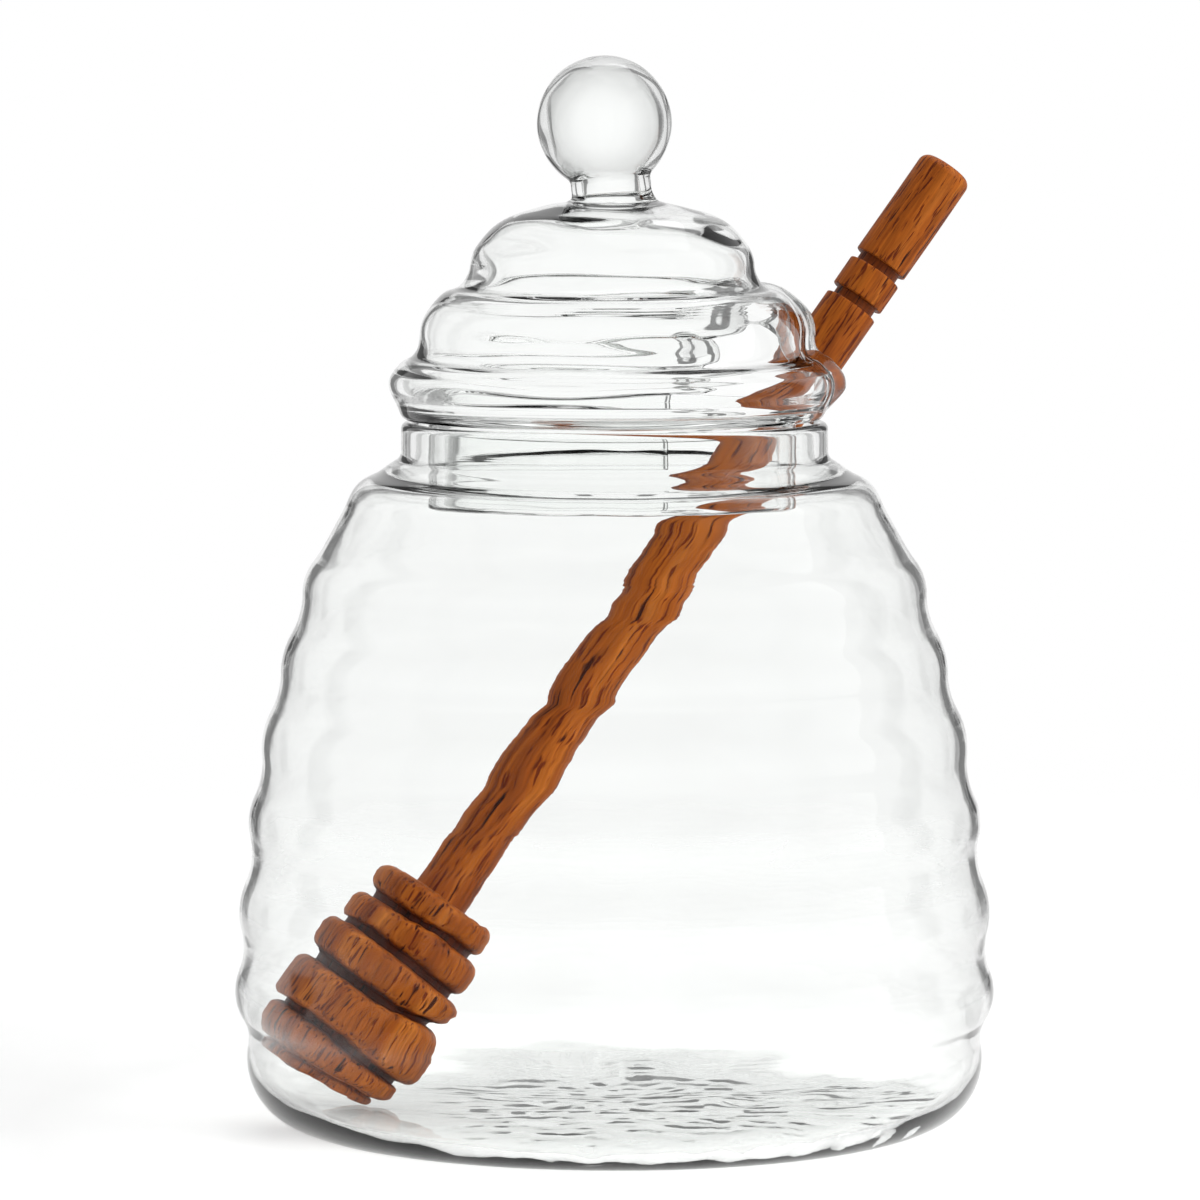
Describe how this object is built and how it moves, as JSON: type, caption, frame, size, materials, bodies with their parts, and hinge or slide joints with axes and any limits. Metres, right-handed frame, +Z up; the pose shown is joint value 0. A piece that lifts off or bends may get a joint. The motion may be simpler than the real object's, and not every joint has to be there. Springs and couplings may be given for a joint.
{
  "type": "honey pot with lid and dipper",
  "caption": "Clear glass honey pot shaped like a straw hive, with a loose notched glass lid with a hollow knob and a turned wooden dipper leaning out of it.",
  "frame": {"origin": "middle of the pot's foot, on the table", "axes": "+Z up the pot's axis to the lid's knob; the dipper's handle leans out over +X and a little towards +Y; -Y is the side that faces the viewer"},
  "size_m": [0.1034, 0.1034, 0.1447],
  "materials": {
    "clear_glass": "clear, colourless, fire-polished, very smooth",
    "turned_wood": "turned and sanded, bare, satin, fine short dark pores along the stick"
  },
  "bodies": {
    "root": {"jar": "clear_glass", "lid": "clear_glass", "dipper": "turned_wood"}
  },
  "joints": []
}
